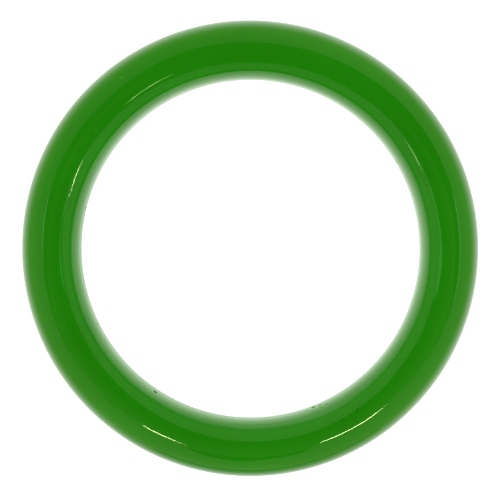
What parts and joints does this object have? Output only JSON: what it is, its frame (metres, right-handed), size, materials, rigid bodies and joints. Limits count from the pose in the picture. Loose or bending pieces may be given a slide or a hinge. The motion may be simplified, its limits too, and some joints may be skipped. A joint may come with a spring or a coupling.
{
  "type": "bangle bracelet",
  "caption": "Round glossy green plastic bangle: one closed, rigid ring of round section with a narrow trimmed band round the inside.",
  "frame": {"origin": "centre of the ring, on its axis at mid-height", "axes": "+Z along the ring's axis, out of the wrist opening; X and Y in the plane of the ring, which is round and has no front"},
  "size_m": [0.0868, 0.0868, 0.0108],
  "materials": {
    "green_plastic": "polished"
  },
  "bodies": {
    "root": {"bangle_ring": "green_plastic"}
  },
  "joints": []
}
